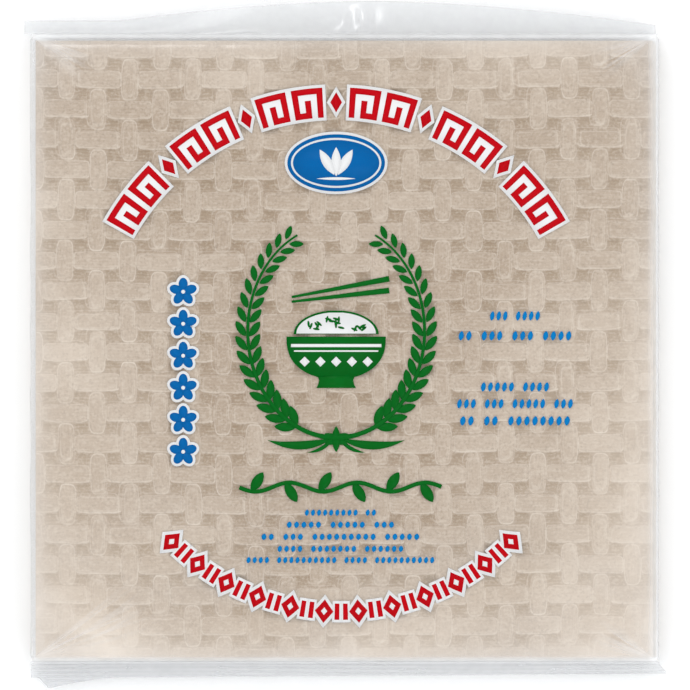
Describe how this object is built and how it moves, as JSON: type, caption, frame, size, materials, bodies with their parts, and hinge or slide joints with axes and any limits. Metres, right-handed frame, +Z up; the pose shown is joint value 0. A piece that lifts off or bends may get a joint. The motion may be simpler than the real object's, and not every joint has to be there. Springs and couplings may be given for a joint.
{
  "type": "rice paper wrapper pack",
  "caption": "Square stack of embossed rice paper sheets sealed in a clear printed film bag with a fin at each end.",
  "frame": {"origin": "centre of the sheet stack's square on the underside, on the surface that the pack lies on", "axes": "+Z up out of the printed front, +Y towards the standing end fin, +X to the right of the front"},
  "size_m": [0.2291, 0.2458, 0.0185],
  "materials": {
    "pack": "clear glossy film over beige rice paper, with red, blue and green print"
  },
  "bodies": {
    "root": {"wrapper_pack": "pack"}
  },
  "joints": []
}
